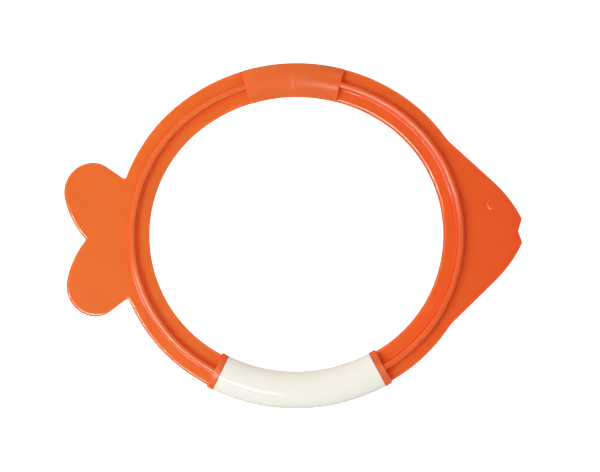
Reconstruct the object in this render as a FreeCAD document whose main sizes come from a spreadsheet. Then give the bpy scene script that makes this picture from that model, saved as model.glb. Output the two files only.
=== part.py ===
"""Fish-shaped pool dive ring, lying flat: an orange one-piece ring with a weighted white sleeve.

Millimetres. The origin is the centre of the ring, on its middle plane. +X points to the head,
+Y to the float bar at the top of the standing ring, and +Z out of the front face.
"""

import FreeCAD, Part
import math
import os

import Sketcher
from FreeCAD import Vector

DRIVING_SIZES = {
    # The oval web of the ring: half-axes of the line along the middle of its width
    "oval_half_length": 77.9,
    "oval_half_height": 73.8,
    "web_width": 16.0,
    "web_thickness": 3.5,
    "rim_radius": 1.2,
    # The rib along the middle of the web, on both faces
    "rib_width": 2.8,
    "rib_height": 8.0,
    "rib_crest_radius": 1.2,
    "rib_foot_radius": 1.0,
    # The top and bottom of the oval turn about centres this far past the middle of the ring
    "crown_drop": 8.4,
    # The round float bar at the top
    "bar_diameter": 16.4,
    "bar_angle": 31.8,
    # The weighted sleeve at the bottom, between two collars
    "collar_diameter": 18.0,
    "collar_width": 3.4,
    "sleeve_diameter": 17.8,
    "sleeve_bore": 14.0,
    "sleeve_angle": 54.0,
    "core_width": 10.0,
    "step_width": 0.9,
    "step_height": 0.9,
    "step_gap": 0.1,
    "parting_edge": 0.2,
    # The pins that hold the two half-shells together, at this angle each side of the middle
    "pin_angle": 16.0,
    "pin_diameter": 3.0,
    "pin_hole": 3.6,
    "pin_socket": 3.1,
    "pin_root": 7.4,
    "pin_tip": 6.6,
    "socket_depth": 1.3,
    "boss_diameter": 5.2,
    "boss_foot": 5.5,
    # The steel plates that weigh the ring down
    "plate_width": 8.0,
    "plate_thickness": 3.5,
    "plate_angle": 49.0,
    "plate_corner": 2.0,
    "plate_gap": 0.1,
    # The head: a straight brow, a round cheek and a mouth notch between two lips
    "brow_slope": 43.3,
    "brow_root": 64.8,
    "brow_blend": 20.0,
    "cheek_radius": 62.1,
    "cheek_x": 51.7,
    "cheek_y": 21.5,
    "lip_reach": 107.4,
    "lip_radius": 1.6,
    "mouth_x": 105.7,
    "mouth_radius": 0.8,
    "eye_x": 93.7,
    "eye_y": 12.8,
    "eye_diameter": 4.8,
    "eye_height": 0.3,
    "eye_edge": 0.25,
    # The tail: two lobes with a notch between them
    "tail_slope": 35.6,
    "tail_root": 76.0,
    "tail_blend": 1.2,
    "lobe_x": 96.2,
    "lobe_y": 25.7,
    "lobe_radius": 11.0,
    "shoulder_x": 95.6,
    "shoulder_radius": 14.4,
    "flank_radius": 43.2,
    "notch_x": 100.4,
    "notch_radius": 0.8,
}

ORIGIN = (-1, 1)
X_AXIS = -1
START, END, CENTRE = 1, 2, 3


# ---------------------------------------------------------------- the sheet and the tools


def make_sheet(doc):
    """Put every driving size into the spreadsheet, one named cell each."""
    sheet = doc.addObject("Spreadsheet::Sheet", "Sizes")
    for row, (alias, value) in enumerate(DRIVING_SIZES.items(), start=1):
        sheet.set(f"A{row}", alias)
        sheet.set(f"B{row}", str(value))
        sheet.setAlias(f"B{row}", alias)
    doc.recompute()
    return sheet


def formula(text):
    """Turn 'web_width / 2' into the sheet's own 'Sizes.web_width / 2'."""
    return " ".join(f"Sizes.{word}" if word in DRIVING_SIZES else word for word in text.split())


def polar(centre, radius, degrees):
    angle = math.radians(degrees)
    return centre + Vector(radius * math.cos(angle), radius * math.sin(angle), 0)


def heading(start, end):
    """The direction from one point to another, in degrees."""
    return math.degrees(math.atan2(end.y - start.y, end.x - start.x))


def leg(longest, other):
    """The third side of a right-angled triangle."""
    return math.sqrt(longest**2 - other**2)


class Outline:
    """A sketch on one of its body's origin planes, whose dimensions are bound to the sheet."""

    def __init__(self, body, name, plane="XY_Plane", height=None):
        self.sketch = body.newObject("Sketcher::SketchObject", name)
        origin_plane = next(item for item in body.Origin.OriginFeatures if item.Role == plane)
        self.sketch.AttachmentSupport = [(origin_plane, "")]
        self.sketch.MapMode = "FlatFace"
        if height:
            self.sketch.setExpression("AttachmentOffset.Base.z", formula(height))

    def line(self, start, end, construction=False):
        return self.sketch.addGeometry(Part.LineSegment(start, end), construction)

    def arc(self, centre, radius, start, end):
        """A counter-clockwise arc between two directions in degrees."""
        circle = Part.Circle(centre, Vector(0, 0, 1), radius)
        return self.sketch.addGeometry(Part.ArcOfCircle(circle, math.radians(start), math.radians(end)))

    def rule(self, kind, *where):
        return self.sketch.addConstraint(Sketcher.Constraint(kind, *where))

    def size(self, name, kind, *where, value, bound):
        """Add a dimension and bind it to a formula of the sheet's cells."""
        index = self.rule(kind, *where, value)
        self.sketch.renameConstraint(index, name)
        self.sketch.setExpression(f"Constraints.{name}", formula(bound))

    def reach(self, name, axis, point, value, bound):
        """Bind how far a point lies from the origin along X or Y, on the side where it now is."""
        ends = (*ORIGIN, *point) if value > 0 else (*point, *ORIGIN)
        self.size(name, f"Distance{axis}", *ends, value=abs(value), bound=bound)

    def radius(self, name, arc, value, bound=None):
        self.size(name, "Radius", arc, value=value, bound=bound or name)

    def ellipse(self, name, half_length, half_height, bound_length, bound_height):
        """An ellipse round the origin, long in X."""
        shape = Part.Ellipse(Vector(half_length, 0, 0), Vector(0, half_height, 0), Vector(0, 0, 0))
        index = self.sketch.addGeometry(shape)
        self.sketch.exposeInternalGeometry(index)
        long_axis, short_axis = index + 1, index + 2
        self.rule("Coincident", index, CENTRE, *ORIGIN)
        self.rule("Horizontal", long_axis)
        self.size(f"{name}_length", "Distance", long_axis, value=2 * half_length, bound=bound_length)
        self.size(f"{name}_height", "Distance", short_axis, value=2 * half_height, bound=bound_height)

    def circle(self, name, centre, diameter, size, bounds):
        """A full circle; bounds are the formulas of its centre's two distances from the origin."""
        radius = getattr(size, diameter) / 2
        circle = self.sketch.addGeometry(Part.Circle(centre, Vector(0, 0, 1), radius))
        self.radius(f"{name}_radius", circle, radius, f"{diameter} / 2")
        self.reach(f"{name}_x", "X", (circle, CENTRE), centre.x, bounds[0])
        self.reach(f"{name}_y", "Y", (circle, CENTRE), centre.y, bounds[1])

    def box(self, name, centre, width, height, bound_near, bound_width, bound_height):
        """A rectangle about a point on the X axis; bound_near is the distance to its nearer side."""
        left, right = centre - width / 2, centre + width / 2
        low, high = -height / 2, height / 2
        corners = [Vector(x, y, 0) for x, y in ((left, low), (right, low), (right, high), (left, high))]
        sides = [self.line(corners[n], corners[(n + 1) % 4]) for n in range(4)]
        bottom, upright = sides[0], sides[1]
        for n in range(4):
            self.rule("Coincident", sides[n], END, sides[(n + 1) % 4], START)
            self.rule("Horizontal" if n % 2 == 0 else "Vertical", sides[n])
        near = (upright, START) if centre < 0 else (bottom, START)
        near_x = math.copysign(abs(centre) - width / 2, centre)
        self.reach(f"{name}_near", "X", near, near_x, bound_near)
        self.reach(f"{name}_low", "Y", (upright, START), low, f"{bound_height} / 2")
        for word, axis, side, value, bound in (
            ("width", "X", bottom, width, bound_width),
            ("height", "Y", upright, height, bound_height),
        ):
            ends = (side, START, side, END)
            self.size(f"{name}_{word}", f"Distance{axis}", *ends, value=value, bound=bound)


def feature(body, kind, name, profile, **settings):
    """Add a feature made from a sketch; a setting given as text is a formula of the sheet."""
    item = body.newObject(f"PartDesign::{kind}", name)
    item.Profile = profile
    for key, value in settings.items():
        if isinstance(value, str) and key in ("Length", "Length2", "Angle"):
            item.setExpression(key, formula(value))
        else:
            setattr(item, key, value)
    body.Document.recompute()
    return item


def fillet(body, name, base, radius, wanted):
    """Round every edge of the base feature for which wanted(edge) is true."""
    item = body.newObject("PartDesign::Fillet", name)
    item.Base = (base, [f"Edge{n}" for n, edge in enumerate(base.Shape.Edges, start=1) if wanted(edge)])
    item.setExpression("Radius", formula(radius))
    body.Document.recompute()
    return item


def points_on(edge):
    """The ends and the middle of an edge."""
    first, last = edge.FirstParameter, edge.LastParameter
    return [edge.valueAt(first), edge.valueAt((first + last) / 2), edge.valueAt(last)]


def lies_flat(edge, height):
    """True for an edge at this distance above or below the middle plane."""
    return all(abs(abs(point.z) - height) < 0.01 for point in points_on(edge))


def make_body(doc, name):
    body = doc.addObject("PartDesign::Body", name)
    body.Label = name
    return body


# ---------------------------------------------------------------- the orange ring


def oval_band(body, name, width, thickness, size):
    """A slab between two ellipses, half its width inside and outside the oval."""
    outline = Outline(body, f"{name}_outline")
    half = getattr(size, width) / 2
    for side, offset, sign in (("outer", half, "+"), ("inner", -half, "-")):
        outline.ellipse(
            side,
            size.oval_half_length + offset,
            size.oval_half_height + offset,
            f"2 * oval_half_length {sign} {width}",
            f"2 * oval_half_height {sign} {width}",
        )
    return feature(body, "Pad", name, outline.sketch, Length=thickness, Midplane=True)


def head_outline(body, size):
    """The upper half of the head: mouth notch, lip, cheek and brow, closed inside the web."""
    outline = Outline(body, "head_outline")
    brow_normal = 90 - size.brow_slope
    cheek = Vector(size.cheek_x, -size.cheek_y, 0)
    lip_x = size.lip_reach - size.lip_radius
    lip = Vector(lip_x, leg(size.cheek_radius - size.lip_radius, lip_x - cheek.x) + cheek.y, 0)
    mouth = Vector(size.mouth_x + size.mouth_radius, 0, 0)
    radii = size.mouth_radius + size.lip_radius
    jaw_tilt = heading(mouth, lip) - math.degrees(math.asin(radii / mouth.distanceToPoint(lip)))
    lip_turn = heading(cheek, lip)
    brow_end = polar(cheek, size.cheek_radius, brow_normal)
    run = brow_end.x - size.brow_root
    brow_start = brow_end + Vector(-run, run * math.tan(math.radians(size.brow_slope)), 0)
    inner_x = size.oval_half_length
    bow = inner_x - brow_start.x
    inner_radius = (bow**2 + brow_start.y**2) / (2 * bow)
    inner = Vector(inner_x - inner_radius, 0, 0)

    axis = outline.line(Vector(inner_x, 0, 0), Vector(size.mouth_x, 0, 0))
    notch = outline.arc(mouth, size.mouth_radius, jaw_tilt + 90, 180)
    jaw = outline.line(
        polar(mouth, size.mouth_radius, jaw_tilt + 90), polar(lip, size.lip_radius, jaw_tilt - 90)
    )
    lip_arc = outline.arc(lip, size.lip_radius, jaw_tilt - 90, lip_turn)
    cheek_arc = outline.arc(cheek, size.cheek_radius, lip_turn, brow_normal)
    brow = outline.line(brow_end, brow_start)
    back = outline.arc(inner, inner_radius, 0, heading(inner, brow_start))

    outline.rule("Coincident", back, START, axis, START)
    outline.rule("Coincident", axis, END, notch, END)
    outline.rule("Tangent", notch, START, jaw, START)
    outline.rule("Tangent", jaw, END, lip_arc, START)
    outline.rule("Tangent", lip_arc, END, cheek_arc, START)
    outline.rule("Tangent", cheek_arc, END, brow, START)
    outline.rule("Coincident", brow, END, back, END)
    outline.rule("Horizontal", axis)
    for curve, point in ((axis, START), (notch, CENTRE), (back, CENTRE)):
        outline.rule("PointOnObject", curve, point, X_AXIS)
    outline.reach("inner_x", "X", (axis, START), inner_x, "oval_half_length")
    outline.reach("mouth_x", "X", (axis, END), size.mouth_x, "mouth_x")
    outline.radius("mouth_radius", notch, size.mouth_radius)
    outline.radius("lip_radius", lip_arc, size.lip_radius)
    outline.reach("lip_x", "X", (lip_arc, CENTRE), lip.x, "lip_reach - lip_radius")
    outline.radius("cheek_radius", cheek_arc, size.cheek_radius)
    outline.reach("cheek_x", "X", (cheek_arc, CENTRE), cheek.x, "cheek_x")
    outline.reach("cheek_y", "Y", (cheek_arc, CENTRE), cheek.y, "cheek_y")
    outline.reach("brow_root", "X", (brow, END), brow_start.x, "brow_root")
    outline.size(
        "brow_slope", "Angle", X_AXIS, START, brow, START,
        value=math.radians(180 - size.brow_slope), bound="180 deg - brow_slope * 1 deg",
    )
    return outline.sketch


def tail_outline(body, size):
    """The upper tail lobe, from the notch round to its root, closed inside the web."""
    outline = Outline(body, "tail_outline")
    slope_normal = 90 - size.tail_slope
    lobe = Vector(-size.lobe_x, size.lobe_y, 0)
    shoulder_drop = leg(size.shoulder_radius - size.lobe_radius, size.lobe_x - size.shoulder_x)
    shoulder = Vector(-size.shoulder_x, size.lobe_y - shoulder_drop, 0)
    notch = Vector(-size.notch_x - size.notch_radius, 0, 0)
    flank = circle_meeting(
        shoulder, size.flank_radius - size.shoulder_radius, notch, size.flank_radius + size.notch_radius
    )
    top_start = polar(lobe, size.lobe_radius, slope_normal)
    run = top_start.x + size.tail_root
    root = top_start + Vector(-run, run * math.tan(math.radians(size.tail_slope)), 0)
    inner_x = size.oval_half_length
    bow = inner_x - size.tail_root
    inner_radius = (bow**2 + root.y**2) / (2 * bow)
    inner = Vector(inner_radius - inner_x, 0, 0)
    lobe_turn = heading(shoulder, lobe)
    flank_turn = heading(flank, shoulder) % 360
    notch_turn = heading(notch, flank)

    axis = outline.line(Vector(-inner_x, 0, 0), Vector(-size.notch_x, 0, 0))
    notch_arc = outline.arc(notch, size.notch_radius, 0, notch_turn)
    flank_arc = outline.arc(flank, size.flank_radius, flank_turn, notch_turn + 180)
    shoulder_arc = outline.arc(shoulder, size.shoulder_radius, lobe_turn, flank_turn)
    lobe_arc = outline.arc(lobe, size.lobe_radius, slope_normal, lobe_turn)
    top = outline.line(top_start, root)
    back = outline.arc(inner, inner_radius, heading(inner, root), 180)

    outline.rule("Coincident", back, END, axis, START)
    outline.rule("Coincident", axis, END, notch_arc, START)
    outline.rule("Tangent", notch_arc, END, flank_arc, END)
    outline.rule("Tangent", flank_arc, START, shoulder_arc, END)
    outline.rule("Tangent", shoulder_arc, START, lobe_arc, END)
    outline.rule("Tangent", lobe_arc, START, top, START)
    outline.rule("Coincident", top, END, back, START)
    outline.rule("Horizontal", axis)
    for curve, point in ((axis, START), (notch_arc, CENTRE), (back, CENTRE)):
        outline.rule("PointOnObject", curve, point, X_AXIS)
    outline.reach("inner_x", "X", (axis, START), -inner_x, "oval_half_length")
    outline.reach("notch_x", "X", (axis, END), -size.notch_x, "notch_x")
    outline.radius("notch_radius", notch_arc, size.notch_radius)
    outline.radius("flank_radius", flank_arc, size.flank_radius)
    outline.radius("shoulder_radius", shoulder_arc, size.shoulder_radius)
    outline.reach("shoulder_x", "X", (shoulder_arc, CENTRE), shoulder.x, "shoulder_x")
    outline.radius("lobe_radius", lobe_arc, size.lobe_radius)
    outline.reach("lobe_x", "X", (lobe_arc, CENTRE), lobe.x, "lobe_x")
    outline.reach("lobe_y", "Y", (lobe_arc, CENTRE), lobe.y, "lobe_y")
    outline.reach("tail_root", "X", (top, END), root.x, "tail_root")
    outline.size(
        "tail_slope", "Angle", X_AXIS, START, top, START,
        value=math.radians(-size.tail_slope), bound="0 deg - tail_slope * 1 deg",
    )
    return outline.sketch


def circle_meeting(first, first_reach, second, second_reach):
    """The right-hand point at two given distances from two points, the first above the second."""
    gap = second - first
    along = (first_reach**2 - second_reach**2 + gap.Length**2) / (2 * gap.Length)
    way = Vector(gap).normalize()
    return first + way * along + Vector(-way.y, way.x, 0) * leg(first_reach, along)


def turned_disc(body, name, diameter, angle, side, size):
    """A disc swept round a crown centre: side is +1 for the top of the oval and -1 for the bottom."""
    outline = Outline(body, f"{name}_outline", "YZ_Plane")
    centre = Vector(side * size.oval_half_height, 0, 0)
    radius = getattr(size, diameter) / 2
    disc = outline.arc(centre, radius, -90, 90)
    other = outline.arc(centre, radius, 90, 270)
    outline.rule("Coincident", disc, END, other, START)
    outline.rule("Coincident", other, END, disc, START)
    outline.rule("Coincident", disc, CENTRE, other, CENTRE)
    outline.rule("Vertical", disc, START, disc, END)
    outline.rule("PointOnObject", disc, CENTRE, X_AXIS)
    outline.reach("centre", "X", (disc, CENTRE), centre.x, "oval_half_height")
    outline.radius("disc_radius", disc, radius, f"{diameter} / 2")
    crown_axis(outline, -side * size.crown_drop)
    return feature(
        body, "Revolution", name, outline.sketch,
        ReferenceAxis=(outline.sketch, ["Axis0"]), Angle=angle, Midplane=True,
    )


def collar(body, name, side, size):
    """A flat disc at one end of the sleeve's seat: side is +1 at the head's end and -1 at the tail's."""
    outline = Outline(body, f"{name}_outline", "YZ_Plane")
    turn = FreeCAD.Rotation(Vector(0, 1, 0), side * size.sleeve_angle / 2)
    outline.sketch.AttachmentOffset = FreeCAD.Placement(Vector(size.crown_drop, 0, 0), turn)
    outline.sketch.setExpression("AttachmentOffset.Base.x", formula("crown_drop"))
    sign = "" if side > 0 else "-1 * "
    outline.sketch.setExpression(
        "AttachmentOffset.Rotation.Angle", formula(f"{sign}sleeve_angle / 2 * 1 deg")
    )
    centre = Vector(-size.oval_half_height - size.crown_drop, 0, 0)
    disc = outline.sketch.addGeometry(Part.Circle(centre, Vector(0, 0, 1), size.collar_diameter / 2))
    outline.rule("PointOnObject", disc, CENTRE, X_AXIS)
    outline.reach("centre", "X", (disc, CENTRE), centre.x, "oval_half_height + crown_drop")
    outline.radius("disc_radius", disc, size.collar_diameter / 2, "collar_diameter / 2")
    return feature(
        body, "Pad", name, outline.sketch,
        SideType="Two sides", Length="collar_width", Length2="collar_width / 2", Reversed=side < 0,
    )


def crown_axis(outline, place):
    """The upright construction line about which a crown of the oval turns."""
    axis = outline.line(Vector(place, -5, 0), Vector(place, 5, 0), construction=True)
    outline.rule("Vertical", axis)
    outline.reach("crown_drop", "X", (axis, START), place, "crown_drop")


def turned_cut(body, name, angle, side, size, core=False):
    """Cut the ring away round a crown; with a core, a flat strip along the oval is left standing."""
    outline = Outline(body, f"{name}_outline", "YZ_Plane")
    centre = side * size.oval_half_height
    clear = 2 * size.collar_diameter
    outline.box(
        "clear", centre, clear, clear,
        "oval_half_height - collar_diameter", "2 * collar_diameter", "2 * collar_diameter",
    )
    if core:
        outline.box(
            "core", centre, size.core_width, size.web_thickness,
            "oval_half_height - core_width / 2", "core_width", "web_thickness",
        )
    crown_axis(outline, -side * size.crown_drop)
    return feature(
        body, "Groove", name, outline.sketch,
        ReferenceAxis=(outline.sketch, ["Axis0"]), Angle=angle, Midplane=True,
    )


def make_frame(doc, size):
    """Web, ribs, head, tail, float bar, collars and sleeve core: one moulding."""
    body = make_body(doc, "fish_frame")
    oval_band(body, "web", "web_width", "web_thickness", size)
    fins = []
    for name, sketch in (("head", head_outline(body, size)), ("tail", tail_outline(body, size))):
        fins.append(feature(body, "Pad", name, sketch, Length="web_thickness", Midplane=True))
    lower_half = body.newObject("PartDesign::Mirrored", "lower_half")
    lower_half.Originals = fins
    mirror_plane = next(item for item in body.Origin.OriginFeatures if item.Role == "XZ_Plane")
    lower_half.MirrorPlane = (mirror_plane, [""])
    body.Tip = lower_half
    doc.recompute()

    def upright_root(edge, side):
        ends = points_on(edge)
        upright = abs(ends[0].x - ends[2].x) + abs(ends[0].y - ends[2].y) < 0.01
        place = ends[1]
        on_web = abs(
            math.hypot(
                place.x / (size.oval_half_length + size.web_width / 2),
                place.y / (size.oval_half_height + size.web_width / 2),
            ) - 1
        ) < 0.001
        return upright and on_web and place.x * side > 0 and abs(place.y) > 5

    brow = fillet(body, "brow_blend", lower_half, "brow_blend", lambda edge: upright_root(edge, 1))
    fillet(body, "tail_blend", brow, "tail_blend", lambda edge: upright_root(edge, -1))
    oval_band(body, "rib", "rib_width", "2 * rib_height", size)
    turned_cut(body, "bar_gap", "bar_angle", 1, size)
    turned_disc(body, "float_bar", "bar_diameter", "bar_angle", 1, size)
    collar(body, "head_collar", 1, size)
    collar(body, "tail_collar", -1, size)
    seat = turned_cut(body, "sleeve_seat", "sleeve_angle", -1, size, core=True)
    round_edges(body, seat, size)
    raised_eye(body, size)
    holes = pin_circles(body, "pin_hole_outline", "pin_hole", size, size.crown_drop)
    feature(body, "Pocket", "pin_holes", holes, Length="2 * web_thickness", Midplane=True)
    return body


def round_edges(body, base, size):
    """Round the rim of the web and fins, then the foot and the crest of each rib."""
    half_web = size.web_thickness / 2
    half_rib = size.rib_width / 2

    def off_oval(point):
        stretch = math.hypot(point.x / size.oval_half_length, point.y / size.oval_half_height)
        return abs(stretch - 1) * size.oval_half_height

    def in_seat(point):
        turn = math.degrees(math.atan2(point.x, size.crown_drop - point.y))
        return abs(turn) < size.sleeve_angle / 2 + 0.1

    def rim(edge):
        return lies_flat(edge, half_web) and all(
            off_oval(point) > size.web_width / 2 - 1 and not in_seat(point) for point in points_on(edge)
        )

    def foot(edge):
        return lies_flat(edge, half_web) and all(
            off_oval(point) < size.rib_width for point in points_on(edge)
        )

    def crest(edge):
        return lies_flat(edge, size.rib_height) and edge.Length > size.web_width

    rounded = fillet(body, "rounded_rim", base, "rim_radius", rim)
    filled = fillet(body, "rib_foot", rounded, "rib_foot_radius", foot)
    return fillet(body, "rib_crest", filled, "rib_crest_radius", crest)


def raised_eye(body, size):
    """The low round eye on the front of the head, with a rounded edge."""
    outline = Outline(body, "eye_outline", height="web_thickness / 2")
    centre = Vector(size.eye_x, size.eye_y, 0)
    outline.circle("eye", centre, "eye_diameter", size, ("eye_x", "eye_y"))
    eye = feature(body, "Pad", "eye", outline.sketch, Length="eye_height")
    top = size.web_thickness / 2 + size.eye_height
    return fillet(body, "eye_edge", eye, "eye_edge", lambda edge: lies_flat(edge, top))


def pin_circles(body, name, diameter, size, crown_place, height=None):
    """Two circles on the oval, one each side of its lowest point; crown_place is the crown centre's Y."""
    outline = Outline(body, name, height=height)
    crown_radius = size.oval_half_height + size.crown_drop
    turn = math.radians(size.pin_angle)
    along = crown_radius * math.sin(turn)
    below = crown_radius * math.cos(turn)
    bound_x = "( oval_half_height + crown_drop ) * sin( pin_angle * 1 deg )"
    bound_y = "( oval_half_height + crown_drop ) * cos( pin_angle * 1 deg )"
    if crown_place:
        bound_y += " - crown_drop"
    for side, sign in (("right", 1), ("left", -1)):
        centre = Vector(sign * along, crown_place - below, 0)
        outline.circle(side, centre, diameter, size, (bound_x, bound_y))
    return outline.sketch


# ---------------------------------------------------------------- the sleeve and its weights


def place_at_crown(body, height=None):
    """Set a body down with its origin at the centre that the lower crown turns about."""
    body.setExpression("Placement.Base.y", formula("crown_drop"))
    if height:
        body.setExpression("Placement.Base.z", formula(height))
    body.Document.recompute()


def half_tube(body, side, size):
    """Half of the sleeve's tube: side is +1 in front of the middle plane and -1 behind it."""
    outline = Outline(body, "half_tube_outline", "YZ_Plane")
    centre = Vector(-size.oval_half_height - size.crown_drop, 0, 0)
    outer_radius, bore_radius = size.sleeve_diameter / 2, size.sleeve_bore / 2
    start = 0 if side > 0 else 180
    outer = outline.arc(centre, outer_radius, start, start + 180)
    bore = outline.arc(centre, bore_radius, start, start + 180)
    for end in (START, END):
        angle = start if end == START else start + 180
        edge = outline.line(polar(centre, outer_radius, angle), polar(centre, bore_radius, angle))
        outline.rule("Coincident", edge, START, outer, end)
        outline.rule("Coincident", edge, END, bore, end)
        outline.rule("Horizontal", edge)
    outline.rule("Coincident", outer, CENTRE, bore, CENTRE)
    outline.rule("PointOnObject", outer, CENTRE, X_AXIS)
    outline.rule("PointOnObject", outer, START, X_AXIS)
    outline.reach("crown_radius", "X", (outer, CENTRE), centre.x, "oval_half_height + crown_drop")
    outline.radius("outer_radius", outer, outer_radius, "sleeve_diameter / 2")
    outline.radius("bore_radius", bore, bore_radius, "sleeve_bore / 2")
    tube = feature(
        body, "Revolution", "half_tube", outline.sketch,
        ReferenceAxis=(outline.sketch, ["V_Axis"]), Angle="sleeve_angle", Midplane=True,
    )

    def parting(edge):
        """The outer edges along the middle plane, where the two halves meet in a fine groove."""
        off_middle = abs(math.hypot(points_on(edge)[1].x, points_on(edge)[1].y) + centre.x)
        return lies_flat(edge, 0) and off_middle > outer_radius - 0.1

    return fillet(body, "parting_edge", tube, "parting_edge", parting)


def step_joint(body, kind, name, gap, size):
    """The tongue of one half-shell, or the wider and deeper rebate in the other that takes it."""
    outline = Outline(body, f"{name}_outline", "YZ_Plane")
    crown_radius = size.oval_half_height + size.crown_drop
    play = size.step_gap if gap else 0
    extra = " + step_gap" if gap else ""
    width = size.step_width + 2 * play
    height = 2 * (size.step_height + play)
    bound_width = f"step_width{extra}{extra}"
    bound_height = f"2 * ( step_height{extra} )"
    for wall, sign, word in (("inner", 1, "-"), ("outer", -1, "+")):
        offset = (size.sleeve_bore + size.step_width) / 2
        outline.box(
            wall, sign * offset - crown_radius, width, height,
            f"oval_half_height + crown_drop {word} ( sleeve_bore + step_width ) / 2 - ( {bound_width} ) / 2",
            bound_width, bound_height,
        )
    return feature(
        body, kind, name, outline.sketch,
        ReferenceAxis=(outline.sketch, ["V_Axis"]), Angle="sleeve_angle", Midplane=True,
    )


def make_front_shell(doc, size):
    """Front half of the sleeve: a tongue along both edges, and two shouldered pins."""
    body = make_body(doc, "weight_sleeve_front")
    half_tube(body, 1, size)
    step_joint(body, "Revolution", "tongue", False, size)
    shoulders = pin_circles(body, "shoulder_outline", "boss_diameter", size, 0, height="boss_foot")
    feature(body, "Pad", "shoulders", shoulders, Length="pin_root - boss_foot")
    pins = pin_circles(body, "pin_outline", "pin_diameter", size, 0, height="-1 * pin_tip")
    feature(body, "Pad", "pins", pins, Length="pin_root + pin_tip")
    place_at_crown(body)
    return body


def make_back_shell(doc, size):
    """Back half of the sleeve: a rebate for the tongue, and a socket for each pin."""
    body = make_body(doc, "weight_sleeve_back")
    half_tube(body, -1, size)
    step_joint(body, "Groove", "rebate", True, size)
    bosses = pin_circles(body, "boss_outline", "boss_diameter", size, 0, height="-1 * pin_root")
    feature(body, "Pad", "bosses", bosses, Length="pin_root - boss_foot")
    sockets = pin_circles(body, "socket_outline", "pin_socket", size, 0, height="-1 * boss_foot")
    feature(body, "Pocket", "sockets", sockets, Length="socket_depth")
    place_at_crown(body)
    return body


def make_ballast(doc, name, side, size):
    """A steel plate blanked to the curve of the core, with a hole for each pin."""
    body = make_body(doc, name)
    outline = Outline(body, "section_outline", "YZ_Plane")
    outline.box(
        "section", -size.oval_half_height - size.crown_drop, size.plate_width, size.plate_thickness,
        "oval_half_height + crown_drop - plate_width / 2", "plate_width", "plate_thickness",
    )
    plate = feature(
        body, "Revolution", "plate", outline.sketch,
        ReferenceAxis=(outline.sketch, ["V_Axis"]), Angle="plate_angle", Midplane=True,
    )

    def corner(edge):
        ends = points_on(edge)
        return abs(abs(ends[0].z - ends[2].z) - size.plate_thickness) < 0.01

    fillet(body, "rounded_corners", plate, "plate_corner", corner)
    holes = pin_circles(body, "hole_outline", "pin_hole", size, 0)
    feature(body, "Pocket", "holes", holes, Length="2 * plate_thickness", Midplane=True)
    sign = "" if side > 0 else "-1 * "
    place_at_crown(body, f"{sign}( web_thickness / 2 + plate_gap + plate_thickness / 2 )")
    return body


# ---------------------------------------------------------------- the whole ring


def write_parts(doc, bodies):
    """Stop on any failed feature or bad solid, then write one file for each piece."""
    failed = [item.Name for item in doc.Objects if {"Invalid", "Error"} & set(item.State)]
    if failed:
        raise RuntimeError(f"features failed: {failed}")
    for body in bodies:
        shape = body.Shape
        if shape.isNull() or not shape.isValid() or len(shape.Solids) != 1 or shape.Volume <= 0:
            raise RuntimeError(f"{body.Label} is not one valid solid")
    os.makedirs("parts", exist_ok=True)
    for body in bodies:
        body.Shape.exportStep(f"parts/{body.Label}.step")
        print(f"{body.Label}: {body.Shape.Volume / 1000:.2f} cm3")


def main():
    doc = FreeCAD.newDocument("dive_ring")
    size = make_sheet(doc)
    bodies = [
        make_frame(doc, size),
        make_front_shell(doc, size),
        make_back_shell(doc, size),
        make_ballast(doc, "ballast_plate_front", 1, size),
        make_ballast(doc, "ballast_plate_back", -1, size),
    ]
    doc.recompute()
    write_parts(doc, bodies)


main()
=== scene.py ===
"""Looks of the fish-shaped dive ring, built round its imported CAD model.

The scene is in metres, as the frame is; the sizes below are in millimetres.
"""

import math

import bmesh
import bpy
import numpy as np
from mathutils import Matrix, Vector


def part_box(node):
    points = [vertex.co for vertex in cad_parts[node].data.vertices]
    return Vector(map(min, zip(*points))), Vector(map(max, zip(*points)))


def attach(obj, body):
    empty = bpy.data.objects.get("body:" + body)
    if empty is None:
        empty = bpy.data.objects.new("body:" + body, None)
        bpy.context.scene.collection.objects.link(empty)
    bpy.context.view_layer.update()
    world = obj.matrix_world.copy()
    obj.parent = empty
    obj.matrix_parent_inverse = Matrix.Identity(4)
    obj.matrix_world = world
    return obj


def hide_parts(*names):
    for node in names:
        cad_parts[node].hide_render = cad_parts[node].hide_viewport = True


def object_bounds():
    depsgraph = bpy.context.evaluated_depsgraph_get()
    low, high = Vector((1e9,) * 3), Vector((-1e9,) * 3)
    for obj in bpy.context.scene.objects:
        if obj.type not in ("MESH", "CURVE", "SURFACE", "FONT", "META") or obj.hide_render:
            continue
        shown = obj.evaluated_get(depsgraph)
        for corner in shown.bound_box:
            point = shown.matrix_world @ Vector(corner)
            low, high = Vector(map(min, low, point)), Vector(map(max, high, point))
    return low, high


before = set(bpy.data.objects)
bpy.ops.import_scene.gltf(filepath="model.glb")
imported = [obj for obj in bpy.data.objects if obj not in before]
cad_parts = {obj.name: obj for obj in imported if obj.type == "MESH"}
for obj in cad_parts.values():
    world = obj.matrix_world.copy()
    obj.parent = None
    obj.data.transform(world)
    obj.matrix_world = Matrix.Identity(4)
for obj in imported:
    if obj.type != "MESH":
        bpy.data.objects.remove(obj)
CAD_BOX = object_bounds()

MM = 0.001

# ---------------------------------------------------------------- sizes, in millimetres

FRAME_HIGH = np.array(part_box("fish_frame")[1]) / MM
SLEEVE_LOW, SLEEVE_HIGH = (np.array(corner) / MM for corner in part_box("weight_sleeve_front"))

SLEEVE_RADIUS = SLEEVE_HIGH[2]
COLLAR_RADIUS = FRAME_HIGH[2]
OVAL_HALF_HEIGHT = -SLEEVE_LOW[1] - SLEEVE_RADIUS
BAR_RADIUS = FRAME_HIGH[1] - OVAL_HALF_HEIGHT
LIP_REACH = FRAME_HIGH[0]

OVAL_HALF_LENGTH = 77.9
CROWN_DROP = 8.4
CROWN_RADIUS = OVAL_HALF_HEIGHT + CROWN_DROP
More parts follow.
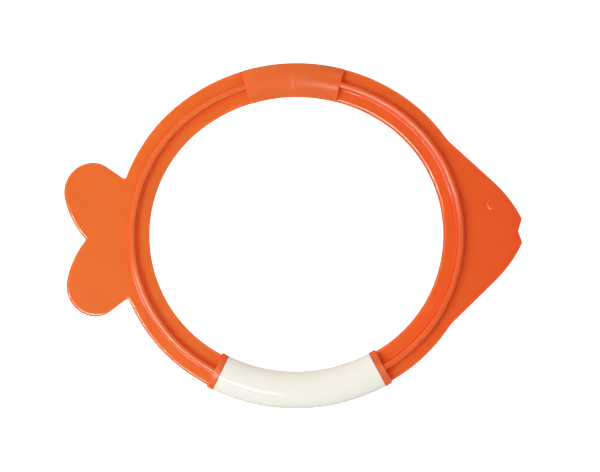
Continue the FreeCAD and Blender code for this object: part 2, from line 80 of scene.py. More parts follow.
# The side arcs of the oval meet the crown arcs with a common tangent
SHORTFALL = CROWN_RADIUS - OVAL_HALF_LENGTH
SIDE_SHIFT = (CROWN_DROP**2 - SHORTFALL**2) / (2 * SHORTFALL)
SIDE_RADIUS = OVAL_HALF_LENGTH - SIDE_SHIFT
SIDE_TURN = math.degrees(math.atan2(CROWN_DROP, SIDE_SHIFT))

WEB_HALF_WIDTH = 8.0
WEB_HALF_THICKNESS = 1.75
RIM_RADIUS = 1.2
INNER_RIM_RADIUS = 1.7
RIB_HEIGHT = 8.0
RIB_HALF_WIDTH = 1.4
RIB_FOOT_RADIUS = 0.6
RIB_DRAFT = 0.15

# The bar and the sleeve reach this many degrees each side of the oval's top and bottom
BAR_HALF_TURN = 15.9
SLEEVE_HALF_TURN = 27.0
COLLAR_WIDTH = 3.4
CORE_HALF_WIDTH = 5.0


def polar(centre, radius, degrees):
    """The point at a distance and direction from a centre; given many directions, a row for each."""
    angle = np.radians(degrees)
    return np.array(centre) + radius * np.stack([np.cos(angle), np.sin(angle)], axis=-1)


def unit(degrees):
    return polar((0, 0), 1.0, degrees)


def heading(start, end):
    """The direction from one point to another, in degrees."""
    return math.degrees(math.atan2(end[1] - start[1], end[0] - start[0]))


def oval_point(turn, offset):
    """A point beside the oval's middle line: turn is the direction of its outward normal, in degrees."""
    turn = np.asarray(turn, float)
    folded = np.abs((turn + 90) % 180 - 90)
    on_side = folded < SIDE_TURN
    centre_x = np.where(on_side, np.sign(np.cos(np.radians(turn))) * SIDE_SHIFT, 0.0)
    centre_y = np.where(on_side, 0.0, -np.sign(np.sin(np.radians(turn))) * CROWN_DROP)
    radius = np.where(on_side, SIDE_RADIUS, CROWN_RADIUS) + offset
    centre = np.stack([centre_x, centre_y], axis=-1)
    return centre + radius[..., None] * unit(turn)


def off_oval(x, y):
    """How far a point in the plane lies outside the oval's middle line, negative inside it."""
    side, top = math.copysign(SIDE_SHIFT, x), -math.copysign(CROWN_DROP, y)
    turn = abs(math.degrees(math.atan2(abs(y), abs(x) - SIDE_SHIFT)))
    if turn < SIDE_TURN:
        return math.hypot(x - side, y) - SIDE_RADIUS
    return math.hypot(x, y - top) - CROWN_RADIUS


# ---------------------------------------------------------------- outlines of the head and tail

# Between neighbouring points of an outline, at most this many millimetres and degrees
OUTLINE_STEP = 1.0
OUTLINE_TURN = 10.0
FAN_DEPTH = 6.0

BROW_SLOPE = 43.3
BROW_BLEND = 20.0
CHEEK_CENTRE = (51.7, -21.5)
CHEEK_RADIUS = 62.1
LIP_RADIUS = 1.6
MOUTH_X = 105.7
MOUTH_RADIUS = 0.8
TAIL_SLOPE = 35.6
TAIL_BLEND = 1.2
LOBE_CENTRE = (-96.2, 25.7)
LOBE_RADIUS = 11.0
SHOULDER_X = -95.6
SHOULDER_RADIUS = 14.4
FLANK_RADIUS = 43.2
NOTCH_X = -100.4
NOTCH_RADIUS = 0.8


def arc_run(centre, radius, start, end, hollow=False):
    """Points along an arc and the direction into the material; a hollow arc bulges into it."""
    sweep = abs(end - start)
    count = math.ceil(max(sweep / OUTLINE_TURN, math.radians(sweep) * radius / OUTLINE_STEP))
    angles = np.linspace(start, end, count + 1)
    outward = unit(angles)
    return polar(centre, radius, angles), outward if hollow else -outward


def line_run(start, end, inward):
    """Points along a straight stretch and the direction into the material."""
    start, end = np.array(start), np.array(end)
    count = math.ceil(np.linalg.norm(end - start) / OUTLINE_STEP)
    points = start + np.linspace(0, 1, count + 1)[:, None] * (end - start)
    return points, np.tile(inward, (count + 1, 1))


def chain(runs):
    """Join runs end to end, leaving out the repeated points where they meet."""
    points = np.vstack([run[0] if n == 0 else run[0][1:] for n, run in enumerate(runs)])
    inward = np.vstack([run[1] if n == 0 else run[1][1:] for n, run in enumerate(runs)])
    return points, inward


def circles_meet(first, first_reach, second, second_reach):
    """The point at two given distances from two points, on the left of the way between them."""
    first, second = np.array(first), np.array(second)
    gap = np.linalg.norm(second - first)
    way = (second - first) / gap
    along = (first_reach**2 - second_reach**2 + gap**2) / (2 * gap)
    return first + along * way + math.sqrt(first_reach**2 - along**2) * np.array([-way[1], way[0]])


def blend_to_oval(normal, offset, radius, side):
    """Centre of the hollow arc that joins a straight edge to the oval's outer edge."""
    hub = np.array([side * SIDE_SHIFT, 0.0])
    reach = SIDE_RADIUS + WEB_HALF_WIDTH + radius
    across = offset + radius - hub @ normal
    along = math.sqrt(reach**2 - across**2)
    tangent = np.array([normal[1], -normal[0]]) * side
    return hub + across * normal + along * tangent, hub


def head_half():
    """The upper half of the head's outline, from the mouth round to the oval."""
    mouth = np.array([MOUTH_X + MOUTH_RADIUS, 0.0])
    cheek = np.array(CHEEK_CENTRE)
    lip_x = LIP_REACH - LIP_RADIUS
    lip = np.array([lip_x, cheek[1] + math.sqrt((CHEEK_RADIUS - LIP_RADIUS) ** 2 - (lip_x - cheek[0]) ** 2)])
    gap = np.linalg.norm(lip - mouth)
    jaw = heading(mouth, lip) - math.degrees(math.asin((MOUTH_RADIUS + LIP_RADIUS) / gap))
    lip_turn = heading(cheek, lip)
    brow_turn = 90 - BROW_SLOPE
    brow_normal = unit(brow_turn)
    blend, hub = blend_to_oval(brow_normal, cheek @ brow_normal + CHEEK_RADIUS, BROW_BLEND, 1)
    root_turn = heading(hub, blend)
    return chain([
        arc_run(mouth, MOUTH_RADIUS, 180, jaw + 90, hollow=True),
        line_run(polar(mouth, MOUTH_RADIUS, jaw + 90), polar(lip, LIP_RADIUS, jaw - 90), unit(jaw + 90)),
        arc_run(lip, LIP_RADIUS, jaw - 90, lip_turn),
        arc_run(cheek, CHEEK_RADIUS, lip_turn, brow_turn),
        line_run(polar(cheek, CHEEK_RADIUS, brow_turn), blend - BROW_BLEND * brow_normal, -brow_normal),
        arc_run(blend, BROW_BLEND, brow_turn + 180, root_turn + 180, hollow=True),
    ]), root_turn


def tail_half():
    """The upper half of the tail's outline, from the notch round its lobe to the oval."""
    notch = np.array([NOTCH_X - NOTCH_RADIUS, 0.0])
    lobe = np.array(LOBE_CENTRE)
    drop = math.sqrt((SHOULDER_RADIUS - LOBE_RADIUS) ** 2 - (SHOULDER_X - lobe[0]) ** 2)
    shoulder = np.array([SHOULDER_X, lobe[1] - drop])
    flank = circles_meet(shoulder, FLANK_RADIUS - SHOULDER_RADIUS, notch, FLANK_RADIUS + NOTCH_RADIUS)
    notch_turn = heading(notch, flank)
    flank_turn = heading(flank, shoulder) % 360
    shoulder_turn = heading(shoulder, lobe)
    top_turn = 90 - TAIL_SLOPE
    top_normal = unit(top_turn)
    blend, hub = blend_to_oval(top_normal, lobe @ top_normal + LOBE_RADIUS, TAIL_BLEND, -1)
    root_turn = heading(hub, blend)
    return chain([
        arc_run(notch, NOTCH_RADIUS, 0, notch_turn, hollow=True),
        arc_run(flank, FLANK_RADIUS, notch_turn + 180, flank_turn),
        arc_run(shoulder, SHOULDER_RADIUS, flank_turn, shoulder_turn),
        arc_run(lobe, LOBE_RADIUS, shoulder_turn, top_turn),
        line_run(polar(lobe, LOBE_RADIUS, top_turn), blend - TAIL_BLEND * top_normal, -top_normal),
        arc_run(blend, TAIL_BLEND, top_turn + 180, root_turn + 180, hollow=True),
    ]), root_turn


def whole_fin(half, root_turn, opposite):
    """Both halves of a fin's outline in the order of rising turn, each point with its own turn."""
    points, inward = half
    flip = np.array([1.0, -1.0])
    lower = (points[:0:-1] * flip, inward[:0:-1] * flip)
    outline, normals = np.vstack([lower[0], points]), np.vstack([lower[1], inward])
    if opposite:
        outline, normals = outline[::-1], normals[::-1]
    # Measured FAN_DEPTH inside the edge, hollow corners get more of the turn, so sections never cross
    steps = np.linalg.norm(np.diff(outline + FAN_DEPTH * normals, axis=0), axis=1)
    share = np.concatenate([[0], np.cumsum(steps)]) / steps.sum()
    first, last = (root_turn, 360 - root_turn) if opposite else (-root_turn, root_turn)
    return first + share * (last - first), outline, normals


# ---------------------------------------------------------------- the section of the ring

RIM_STEPS = 6
CREST_STEPS = 8
FOOT_STEPS = 5
SIDE_STEPS = 5
OUTER_COLUMNS = 14
INNER_COLUMNS = 6
# The flat web starts this far from the oval's middle line, clear of the rib's foot
WEB_STRIP = 2.8


def rim_profile(radius):
    """The rounded edge of the web from its middle to its face: distance in from the edge, and height."""
    angles = np.radians(np.linspace(0, 90, RIM_STEPS + 1))
    rise = WEB_HALF_THICKNESS - radius
    return np.stack([radius * (1 - np.cos(angles)), rise + radius * np.sin(angles)], axis=-1)


def rib_profile():
    """Half of the rib from its foot to its crest: offset from the oval's middle line, and height."""
    foot_angles = np.linspace(270, 180, FOOT_STEPS + 1)
    foot = polar(
        (RIB_HALF_WIDTH + RIB_DRAFT + RIB_FOOT_RADIUS, WEB_HALF_THICKNESS + RIB_FOOT_RADIUS),
        RIB_FOOT_RADIUS, foot_angles,
    )
    crest_radius = RIB_HALF_WIDTH - RIB_DRAFT
    crest = polar((0, RIB_HEIGHT - crest_radius), crest_radius, np.linspace(0, 90, CREST_STEPS + 1))
    side = foot[-1] + np.linspace(0, 1, SIDE_STEPS + 1)[1:-1, None] * (crest[0] - foot[-1])
    return np.vstack([foot, side, crest])


OUTER_RIM, INNER_RIM, RIB = rim_profile(RIM_RADIUS), rim_profile(INNER_RIM_RADIUS), rib_profile()


def columns(count):
    """Shares of the way across the flat web, closer together at both ends."""
    return (1 - np.cos(np.linspace(0, np.pi, count + 2)[1:-1])) / 2


def web_section(turn, edge, inward):
    """The closed section of web, rib and fin at one turn of the oval, as points in space."""
    outer_rim = edge + OUTER_RIM[:, :1] * inward
    inner_rim = oval_point(turn, -WEB_HALF_WIDTH) + INNER_RIM[:, :1] * unit(turn)
    strips = []
    for rim, side, count in ((outer_rim, 1, OUTER_COLUMNS), (inner_rim, -1, INNER_COLUMNS)):
        foot = oval_point(turn, side * WEB_STRIP)
        strips.append(rim[-1] + columns(count)[:, None] * (foot - rim[-1]))
    outer_rib, inner_rib = (oval_point(np.full(len(RIB), turn), side * RIB[:, 0]) for side in (1, -1))
    flat = WEB_HALF_THICKNESS
    front = [
        (outer_rim, OUTER_RIM[:, 1]),
        (strips[0], np.full(OUTER_COLUMNS, flat)),
        (outer_rib, RIB[:, 1]),
        (inner_rib[-2::-1], RIB[-2::-1, 1]),
        (strips[1][::-1], np.full(INNER_COLUMNS, flat)),
        (inner_rim[::-1], INNER_RIM[::-1, 1]),
    ]
    plan = np.vstack([part[0] for part in front])
    height = np.concatenate([part[1] for part in front])
    front = np.column_stack([plan, height])
    return np.vstack([front, front[::-1] * (1, 1, -1)])


def plain_section(turn):
    return web_section(turn, oval_point(turn, WEB_HALF_WIDTH), -unit(turn))


def section_angles():
    """Direction and distance of each point of the plain section, seen from the oval's middle line."""
    section = plain_section(0.0)
    offset, height = section[:, 0] - OVAL_HALF_LENGTH, section[:, 2]
    return np.arctan2(height, offset), np.hypot(offset, height)


ANGLES, REACHES = section_angles()


def star_section(turn, reach):
    """A section with each point at its own distance from the oval's middle line."""
    plan = oval_point(np.broadcast_to(turn, ANGLES.shape), reach * np.cos(ANGLES))
    return np.column_stack([plan, reach * np.sin(ANGLES)])


CORE_REACHES = np.minimum(
    CORE_HALF_WIDTH / np.maximum(np.abs(np.cos(ANGLES)), 1e-6),
    WEB_HALF_THICKNESS / np.maximum(np.abs(np.sin(ANGLES)), 1e-6),
)


def radial_face(turn):
    return lambda offset, height: turn


def leaning_face(turn, way):
    """A face that leans back towards the bar by BAR_DRAFT at the crest."""
    lean = way * math.degrees(BAR_DRAFT / BAR_RADIUS / CROWN_RADIUS)
    return lambda offset, height: turn + lean * np.abs(height)


def parallel_face(turn, way):
    """A face parallel to the one at the given turn and COLLAR_WIDTH away from it."""
    return lambda offset, height: turn + way * np.degrees(np.arcsin(COLLAR_WIDTH / (CROWN_RADIUS + offset)))


def shoulder(face, way, radius, bevel, inner_reaches):
    """Sections of an end face, from the thinner section out to the full round one.

    way is +1 where the round part lies at a greater turn; the inner corner is rounded and the outer bevelled.
    """
    steps = []
    # How far back from the face and how far out from the thinner section, round the inner corner
    most = np.maximum(inner_reaches, (inner_reaches + radius - bevel) / 2)
    for back, grow in ((2 * CORNER, 0.0), (0.3 * CORNER, 0.3 * CORNER), (0.0, CORNER)):
        steps.append((np.minimum(inner_reaches + grow, most), -back))
    # Up the face and round the bevel
    least = np.maximum(radius - bevel, inner_reaches + LEAST_STEP)
    for angle in np.radians([0, 30, 60, 90]):
        reach = np.maximum(least, radius - bevel * (1 - math.sin(angle)))
        steps.append((reach, bevel * (1 - math.cos(angle))))
    sections = []
    for reach, push in steps:
        turns = face(reach * np.cos(ANGLES), reach * np.sin(ANGLES)) + way * math.degrees(push / CROWN_RADIUS)
        sections.append(star_section(turns, reach))
    return sections


def turns_between(start, end, step):
    """Evenly spaced turns inside a stretch, without its two ends."""
    return np.linspace(start, end, math.ceil((end - start) / step) + 1)[1:-1]


BAR_BEVEL = 0.5
BAR_DRAFT = 0.4
CORNER = 0.25
COLLAR_BEVEL = 0.3
SEAT_BEVEL = 0.15
LEAST_STEP = 0.02
# Degrees of turn between sections, and from an end face to the next section
RING_STEP = 1.1
BAR_STEP = 0.45
CORE_STEP = 2.0
CLEARANCE = 0.8


def ring_sections():
    """Every section of the moulding, once round from the right-hand collar."""
    head, head_root = head_half()
    tail, tail_root = tail_half()
    seat_start, seat_end = 270 - SLEEVE_HALF_TURN, 270 + SLEEVE_HALF_TURN
    bar_start, bar_end = 90 - BAR_HALF_TURN, 90 + BAR_HALF_TURN
    collar_turn = math.degrees(COLLAR_WIDTH / (CROWN_RADIUS - WEB_HALF_WIDTH))
    sections = []

    def plain(start, end):
        sections.extend(plain_section(turn) for turn in turns_between(start, end, RING_STEP))

    def fin(half, root, opposite):
        for turn, edge, inward in zip(*whole_fin(half, root, opposite)):
            sections.append(web_section(turn, edge, inward))

    def rising(face, radius, bevel, reaches):
        sections.extend(shoulder(face, 1, radius, bevel, reaches))

    def falling(face, radius, bevel, reaches):
        sections.extend(shoulder(face, -1, radius, bevel, reaches)[::-1])

    falling(parallel_face(seat_end - 360, 1), COLLAR_RADIUS, COLLAR_BEVEL, REACHES)
    plain(seat_end - 360 + collar_turn + CLEARANCE, -head_root)
    fin(head, head_root, False)
    plain(head_root, bar_start - CLEARANCE)
    rising(leaning_face(bar_start, 1), BAR_RADIUS, BAR_BEVEL, REACHES)
    for turn in turns_between(bar_start + CLEARANCE, bar_end - CLEARANCE, BAR_STEP):
        sections.append(star_section(turn, np.full(ANGLES.shape, BAR_RADIUS)))
    falling(leaning_face(bar_end, -1), BAR_RADIUS, BAR_BEVEL, REACHES)
    plain(bar_end + CLEARANCE, tail_root)
    fin(tail, tail_root, True)
    plain(360 - tail_root, seat_start - collar_turn - CLEARANCE)
    rising(parallel_face(seat_start, -1), COLLAR_RADIUS, COLLAR_BEVEL, REACHES)
    falling(radial_face(seat_start), COLLAR_RADIUS, SEAT_BEVEL, CORE_REACHES)
    for turn in turns_between(seat_start + CLEARANCE, seat_end - CLEARANCE, CORE_STEP):
        sections.append(star_section(turn, CORE_REACHES))
    rising(radial_face(seat_end), COLLAR_RADIUS, SEAT_BEVEL, CORE_REACHES)
    return np.array(sections)


def closed_mesh(name, sections):
    """A mesh of quads through closed sections that run once round and meet again."""
    rows, count = sections.shape[:2]
    index = np.arange(rows * count).reshape(rows, count)
    ahead, over = np.roll(index, -1, axis=0), np.roll(index, -1, axis=1)
    corner = np.roll(ahead, -1, axis=1)
    faces = np.stack([index, over, corner, ahead], axis=-1).reshape(-1, 4)
    mesh = bpy.data.meshes.new(name)
    mesh.from_pydata((sections.reshape(-1, 3) * MM).tolist(), [], faces.tolist())
    mesh.validate()
    mesh.shade_smooth()
    return mesh


def new_piece(name, mesh):
    piece = bpy.data.objects.new(name, mesh)
    bpy.context.scene.collection.objects.link(piece)
    return piece


# ---------------------------------------------------------------- marks moulded into the plastic

REFINE_ROUNDS = 3

EYE = (93.7, 12.8)
EYE_RADIUS = 2.4
EYE_HEIGHT = 0.3
EYE_EDGE = 0.3

GATE = (-0.25, 71.3)
# Direction in degrees and length of each ridge
GATE_ARMS = ((88, 5.2), (-118, 3.2), (-62, 3.4))
GATE_REACH = 5.5
GATE_WIDTH = 0.28
GATE_HEIGHT = 0.08

# The painted crease shade fades over this distance, and is gone at this share of the rib's height
CREASE_WIDTH = 0.7
CREASE_RISE = 0.6
# It reaches this far on to the end of the bar and the face of a collar
CREASE_OVERLAP = 0.3

# Attributes of the mesh that its materials read
BLUSH = "blush"
# The share of painted crease shade at each point
CREASE_SHADE = "crease_shade"


def refine(mesh, centre, radius):
    """Divide the mesh finer near a point on its front, in rings that get finer inwards."""
    work = bmesh.new()
    work.from_mesh(mesh)
    middle = Vector(centre) * MM
    for rings_left in range(REFINE_ROUNDS, 0, -1):
        reach = radius * (1 + 0.3 * rings_left) * MM
        edges = [
            edge for edge in work.edges
            if all((vert.co.xy - middle).length < reach and vert.co.z > 0 for vert in edge.verts)
        ]
        bmesh.ops.subdivide_edges(work, edges=edges, cuts=1, use_grid_fill=True, smooth=0)
    work.to_mesh(mesh)
    work.free()


def raise_eye(mesh):
    """Lift the low round eye out of the flat head."""
    refine(mesh, EYE, EYE_RADIUS + 2 * EYE_EDGE)
    for vert in mesh.vertices:
        reach = (vert.co.xy / MM - Vector(EYE)).length
        if vert.co.z > 0 and reach < EYE_RADIUS + EYE_EDGE:
            rise = min(1.0, (EYE_RADIUS + EYE_EDGE / 2 - reach) / EYE_EDGE)
            vert.co.z += EYE_HEIGHT * MM * max(0.0, rise) ** 0.5


def raise_gate(mesh):
    """Draw the gate mark on the bar: three thin, paler ridges meeting in a point."""
    refine(mesh, GATE, GATE_REACH)
    blush = mesh.attributes.new(BLUSH, "FLOAT", "POINT")
    for vert, value in zip(mesh.vertices, blush.data):
        x, y = vert.co.xy / MM - Vector(GATE)
        if vert.co.z < 0 or math.hypot(x, y) > 2 * GATE_REACH:
            continue
        # The finer points lie on flat facets until they are put back on the round bar
        vert.co.z = MM * math.sqrt(max(0.0, BAR_RADIUS**2 - off_oval(*vert.co.xy / MM) ** 2))
        for turn, length in GATE_ARMS:
            way = unit(turn)
            along, across = x * way[0] + y * way[1], abs(y * way[0] - x * way[1])
            if 0 <= along <= length:
                share = max(0.0, 1 - across / GATE_WIDTH) * (1 - 0.7 * along / length)
                value.value = max(value.value, share)
        vert.co.z += GATE_HEIGHT * MM * value.value


# ---------------------------------------------------------------- materials

# Painted light: the tail's orange is lighter and yellower and the head's redder, standing in for light that
# falls more strongly on the tail's side
LIT_TAIL_ORANGE = (0.77, 0.19, 0.034, 1)
DIMMER_HEAD_ORANGE = (0.785, 0.116, 0.027, 1)
DEEP_ORANGE = (0.95, 0.10, 0.02, 1)
# Painted shade: the deep red painted into the creases and the corners by the bar's ends and the collars
CREASE_SHADE_RED = (0.97, 0.08, 0.018, 1)
GATE_PALE = (0.90, 0.38, 0.22, 1)
WHITE_LOW, WHITE_HIGH = (0.925, 0.90, 0.80, 1), (0.95, 0.93, 0.83, 1)
STEEL_DARK, STEEL_LIGHT = (0.30, 0.29, 0.28, 1), (0.50, 0.50, 0.49, 1)
PLASTIC_IOR = 1.5
# Along X in metres: where the painted light goes from the lighter, yellower orange of the tail's side to the
# redder orange of the head's side, and where the polish changes
LIGHT_FALLOFF_SPAN = (-0.1, 0.105)
LIGHT_FALLOFF_POWER = 3.0
POLISH_SPAN = (-0.012, 0.018)
# The middle part of a noise, which is stretched over a whole range
NOISE_SPAN = (0.3, 0.7)


def node_maker(holder):
    """A function that adds a node to a material or world, with its settings and inputs."""
    tree = holder.node_tree

    def add(kind, inputs=None, **settings):
        node = tree.nodes.new(kind)
        for key, value in settings.items():
            setattr(node, key, value)
        for key, value in (inputs or {}).items():
            if isinstance(value, bpy.types.NodeSocket):
                tree.links.new(value, node.inputs[key])
            else:
                node.inputs[key].default_value = value
        return node

    return add


def noise(add, place, scale, detail=2.0):
    return add("ShaderNodeTexNoise", {"Vector": place, "Scale": scale, "Detail": detail}).outputs["Fac"]


def spread(add, value, source, target, easing="LINEAR"):
    """A value carried from its source range over to the target range."""
    inputs = {"Value": value}
    inputs["From Min"], inputs["From Max"] = source
    inputs["To Min"], inputs["To Max"] = target
    return add("ShaderNodeMapRange", inputs, interpolation_type=easing).outputs["Result"]


def power(add, value, exponent):
    return add("ShaderNodeMath", {0: value, 1: exponent}, operation="POWER").outputs[0]


def product(add, first, second):
    return add("ShaderNodeMath", {0: first, 1: second}, operation="MULTIPLY").outputs[0]


def blended(add, share, first, second, blend="MIX"):
    inputs = {"Factor": share, "A": first, "B": second}
    return add("ShaderNodeMix", inputs, data_type="RGBA", blend_type=blend).outputs["Result"]


def bump_normal(add, height, strength, distance):
    inputs = {"Strength": strength, "Distance": distance, "Height": height}
    return add("ShaderNodeBump", inputs).outputs["Normal"]


def new_material(name):
    """An empty material, its node adder and its Object coordinates."""
    material = bpy.data.materials.new(name)
    material.use_nodes = True
    material.node_tree.nodes.clear()
    add = node_maker(material)
    return material, add, add("ShaderNodeTexCoord").outputs["Object"]


def add_surface(add, **inputs):
    """The material's shader and output; the shader's inputs are given with _ for each space."""
    named = {key.replace("_", " "): value for key, value in inputs.items()}
    shader = add("ShaderNodeBsdfPrincipled", named)
    add("ShaderNodeOutputMaterial", {"Surface": shader.outputs[0]})


def orange_plastic(name, depth, roughness, level, grain_scale, grain_depth):
    """Orange moulding with painted light and shade: yellower at the tail, standing in for stronger light on
    that side, and a painted red shade in its creases; paler at its gate.

    depth is how far its colour goes to the deep orange of a thick wall. roughness is a pair, for the
    tail's side and the head's side of the middle. level is how strongly it reflects. The grain's
    scale is per metre and its depth in millimetres.
    """
    material, add, place = new_material(name)
    along = add("ShaderNodeSeparateXYZ", {0: place}).outputs["X"]
    # Painted light: the share of the head's redder, less lit orange, rising along X
    forward = power(add, spread(add, along, LIGHT_FALLOFF_SPAN, (0.0, 1.0)), LIGHT_FALLOFF_POWER)
    crease_shade = add("ShaderNodeAttribute", attribute_name=CREASE_SHADE).outputs["Fac"]
    blush = add("ShaderNodeAttribute", attribute_name=BLUSH).outputs["Fac"]
    tone = spread(add, noise(add, place, 90.0, 3.0), NOISE_SPAN, (0.985, 1.015))
    colour = blended(add, forward, LIT_TAIL_ORANGE, DIMMER_HEAD_ORANGE)
    colour = blended(add, depth, colour, DEEP_ORANGE)
    # Painted shade: deeper red in the creases
    colour = blended(add, crease_shade, colour, CREASE_SHADE_RED)
    colour = blended(add, blush, colour, GATE_PALE)
    colour = blended(add, 1.0, colour, tone, "MULTIPLY")
    polish = spread(add, along, POLISH_SPAN, roughness, easing="SMOOTHSTEP")
    grain = noise(add, place, grain_scale)
    add_surface(
        add,
        Base_Color=colour,
        Roughness=product(add, polish, tone),
        Normal=bump_normal(add, grain, 1.0, grain_depth * MM),
        IOR=PLASTIC_IOR,
        Specular_IOR_Level=level,
        Subsurface_Weight=0.9,
        Subsurface_Radius=(1.0, 0.1, 0.04),
        Subsurface_Scale=0.004,
    )
    return material


def white_plastic():
    """Warm white moulding with a sharp shine."""
    material, add, place = new_material("white_plastic_look")
    clouds = noise(add, place, 70.0, 3.0)
    grain = noise(add, place, 1100.0)
    add_surface(
        add,
        Base_Color=blended(add, clouds, WHITE_LOW, WHITE_HIGH),
        Roughness=spread(add, clouds, NOISE_SPAN, (0.09, 0.12)),
        Normal=bump_normal(add, grain, 0.04, 0.2 * MM),
        IOR=PLASTIC_IOR,
        Subsurface_Weight=0.3,
        Subsurface_Radius=(1.0, 0.9, 0.7),
        Subsurface_Scale=0.001,
    )
    return material


def ballast_steel():
    """Blanked steel plate: grey, brushed along X, with darker stains."""
    material, add, place = new_material("ballast_steel_look")
    stretched = add("ShaderNodeMapping", {"Vector": place, "Scale": (60.0, 1800.0, 1800.0)}).outputs["Vector"]
    brush = noise(add, stretched, 1.0, 4.0)
    stain = noise(add, place, 160.0, 4.0)
    add_surface(
        add,
        Base_Color=blended(add, stain, STEEL_DARK, STEEL_LIGHT),
        Roughness=spread(add, brush, NOISE_SPAN, (0.32, 0.5)),
        Normal=bump_normal(add, brush, 0.15, 0.2 * MM),
        Metallic=1.0,
    )
    return material


def backdrop_paper(name, white, glow):
    """White paper that glows a little, so that it stays as white as a lit studio sweep."""
    material, add, place = new_material(name)
    darker = white - 0.02
    clouds = noise(add, place, 4.0)
    add_surface(
        add,
        Base_Color=blended(add, clouds, (white, white, white, 1), (darker, darker, darker, 1)),
        Roughness=0.9,
        Specular_IOR_Level=0.1,
        Emission_Color=(1, 1, 1, 1),
        Emission_Strength=glow,
    )
    return material


def paint(piece, *materials):
    piece.data.materials.clear()
    for material in materials:
        piece.data.materials.append(material)


def repaint(node, material):
    """Give a CAD node a better material without touching its mesh."""
    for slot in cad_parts[node].material_slots:
        slot.link = "OBJECT"
        slot.material = material


# ---------------------------------------------------------------- the pieces

def past_round(x, y):
    """How far a point lies past the end of the bar or the outer face of a collar, negative on them."""
    across, along = abs(x), abs(y) + CROWN_DROP
    half_turn, width = (BAR_HALF_TURN, 0.0) if y > 0 else (SLEEVE_HALF_TURN, COLLAR_WIDTH)
    turn = math.radians(half_turn)
    return across * math.cos(turn) - along * math.sin(turn) - width


def mark_crease_shade(mesh):
    """Store painted shade for the corners between the web and a wall on it: how deep each point lies in such
    a corner, from 0 to 1.
    """
    depth = mesh.attributes.new(CREASE_SHADE, "FLOAT", "POINT")
    for vert, value in zip(mesh.vertices, depth.data):
        x, y, z = vert.co / MM
        beyond = past_round(x, y)
        if beyond > -CREASE_OVERLAP:
            gap = max(0.0, min(abs(off_oval(x, y)) - RIB_HALF_WIDTH, beyond + RIB_FOOT_RADIUS))
            rise = max(0.0, abs(z) - WEB_HALF_THICKNESS) / (RIB_HEIGHT - WEB_HALF_THICKNESS)
            value.value = math.exp(-gap / CREASE_WIDTH) * max(0.0, 1 - rise / CREASE_RISE)


def make_frame_piece(web, bar, collars):
    """The whole moulding; web, bar and collars are the materials of its three finishes."""
    mesh = closed_mesh("moulded_frame", ring_sections())
    raise_eye(mesh)
    raise_gate(mesh)
    mark_crease_shade(mesh)
    mesh.set_sharp_from_angle(angle=math.radians(40))
    piece = new_piece("moulded_frame", mesh)
    paint(piece, web, bar, collars)
    for face in mesh.polygons:
        if past_round(*face.center.xy / MM) < 0:
            face.material_index = 1 if face.center.y > 0 else 2
    piece.modifiers.new("weighted_normals", "WEIGHTED_NORMAL").keep_sharp = True
    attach(piece, "root")
    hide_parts("fish_frame")


make_frame_piece(
    web=orange_plastic("orange_web", 0.0, (0.12, 0.12), 0.5, grain_scale=1400.0, grain_depth=0.001),
    bar=orange_plastic("orange_bar", 0.2, (0.75, 0.32), 0.25, grain_scale=1300.0, grain_depth=0.08),
    collars=orange_plastic("orange_collars", 0.3, (0.45, 0.45), 0.5, grain_scale=1400.0, grain_depth=0.002),
)
WHITE = white_plastic()
repaint("weight_sleeve_front", WHITE)
repaint("weight_sleeve_back", WHITE)
STEEL = ballast_steel()
repaint("ballast_plate_front", STEEL)
repaint("ballast_plate_back", STEEL)


# ---------------------------------------------------------------- floor, light and camera

# The camera looks almost straight down, turned and shifted a little, as the photo was taken
VIEW_ROLL = math.radians(-1.2)
VIEW_RIGHT = Vector((math.cos(VIEW_ROLL), math.sin(VIEW_ROLL), 0))
VIEW_UP = Vector((-math.sin(VIEW_ROLL), math.cos(VIEW_ROLL), 0))
VIEW_TARGET = (VIEW_RIGHT * 1.77 - VIEW_UP * 0.56 + Vector((0, 0.3, 0))) * MM
VIEW_HEIGHT = 914 * MM
VIEW_LEAN = 27 * MM
FOCAL_LENGTH = 115.2
LIGHT_REACH = 1.2
SKY_GLOW = 0.45
BAND_GLOW = 0.55
SHEET_HALF = 3.0


def lay_sheet(name, height, material):
    """A large level square that isn't part of the object and doesn't show in its reflections."""
    mesh = bpy.data.meshes.new(name)
    corners = [(x * SHEET_HALF, y * SHEET_HALF, 0) for x, y in ((-1, -1), (1, -1), (1, 1), (-1, 1))]
    mesh.from_pydata(corners, [], [(0, 1, 2, 3)])
    sheet = new_piece(name, mesh)
    sheet.location.z = height
    sheet.visible_glossy = False
    paint(sheet, material)
    return sheet


def lay_floor():
    """White paper that only the camera sees, over a card that lights the object from below."""
    floor = lay_sheet("floor", CAD_BOX[0][2], backdrop_paper("floor_paper", 0.92, 1.0))
    floor.visible_diffuse = False
    card = lay_sheet("bounce_card", CAD_BOX[0][2] - MM, backdrop_paper("card_paper", 0.90, 0.9))
    card.visible_camera = False


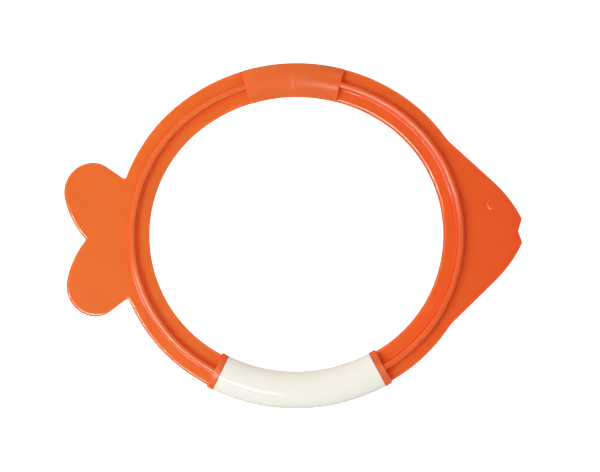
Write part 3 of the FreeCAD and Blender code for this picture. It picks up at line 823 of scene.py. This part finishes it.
def area_light(name, azimuth, zenith, width, height, radiance, seen_as):
    """A rectangular light aimed at the origin from LIGHT_REACH away, its sizes given as angles.

    Azimuth 0 is +X and 90 is +Y; zenith 0 is straight above. It only lights the surface's own
    colour when seen_as is "diffuse", and only shows as a reflection when it is "glossy".
    """
    sizes = [2 * LIGHT_REACH * math.tan(math.radians(angle / 2)) for angle in (width, height)]
    lamp = bpy.data.lights.new(name, "AREA")
    lamp.shape = "RECTANGLE"
    lamp.size, lamp.size_y = sizes
    lamp.energy = radiance * math.pi * sizes[0] * sizes[1]
    light = bpy.data.objects.new(name, lamp)
    bpy.context.scene.collection.objects.link(light)
    tilt, turn = math.radians(zenith), math.radians(azimuth)
    away = Vector((math.sin(tilt) * math.cos(turn), math.sin(tilt) * math.sin(turn), math.cos(tilt)))
    light.location = away * LIGHT_REACH
    light.rotation_euler = away.to_track_quat("Z", "Y").to_euler()
    light.visible_diffuse = seen_as != "glossy"
    light.visible_glossy = seen_as != "diffuse"


def set_world():
    """White to the camera, and an even glow on the surfaces' own colour.

    Reflections see a soft band all round, which fades out overhead and is dimmer near the floor.
    """
    world = bpy.data.worlds.new("studio")
    world.use_nodes = True
    add = node_maker(world)
    way = add("ShaderNodeTexCoord").outputs["Generated"]
    height = add("ShaderNodeSeparateXYZ", {0: way}).outputs["Z"]
    overhead = spread(add, height, (0.94, 0.75), (0.0, BAND_GLOW), easing="SMOOTHSTEP")
    low = spread(add, height, (-0.1, 0.4), (0.4, 1.0))
    seen_by = add("ShaderNodeLightPath").outputs
    glow = SKY_GLOW
    for ray, other in (("Is Glossy Ray", product(add, overhead, low)), ("Is Camera Ray", 1.0)):
        glow = add("ShaderNodeMix", {"Factor": seen_by[ray], "A": glow, "B": other}).outputs["Result"]
    background = world.node_tree.nodes["Background"]
    background.inputs["Color"].default_value = (1, 1, 1, 1)
    world.node_tree.links.new(glow, background.inputs["Strength"])
    bpy.context.scene.world = world


def set_camera():
    lens = bpy.data.cameras.new("camera")
    lens.sensor_width = 36.0
    lens.lens = FOCAL_LENGTH
    lens.clip_start = 0.01
    camera = bpy.data.objects.new("camera", lens)
    bpy.context.scene.collection.objects.link(camera)
    place = VIEW_TARGET + VIEW_UP * VIEW_LEAN + Vector((0, 0, VIEW_HEIGHT))
    back = (place - VIEW_TARGET).normalized()
    axes = Matrix((VIEW_RIGHT, back.cross(VIEW_RIGHT), back)).transposed().to_4x4()
    camera.matrix_world = Matrix.Translation(place) @ axes
    bpy.context.scene.camera = camera


lay_floor()
set_world()
area_light("key", 185, 20, 34, 34, 5.6, "diffuse")
area_light("key_shine", 226, 24, 28, 7, 55, "glossy")
set_camera()
bpy.context.scene.view_settings.view_transform = "Standard"
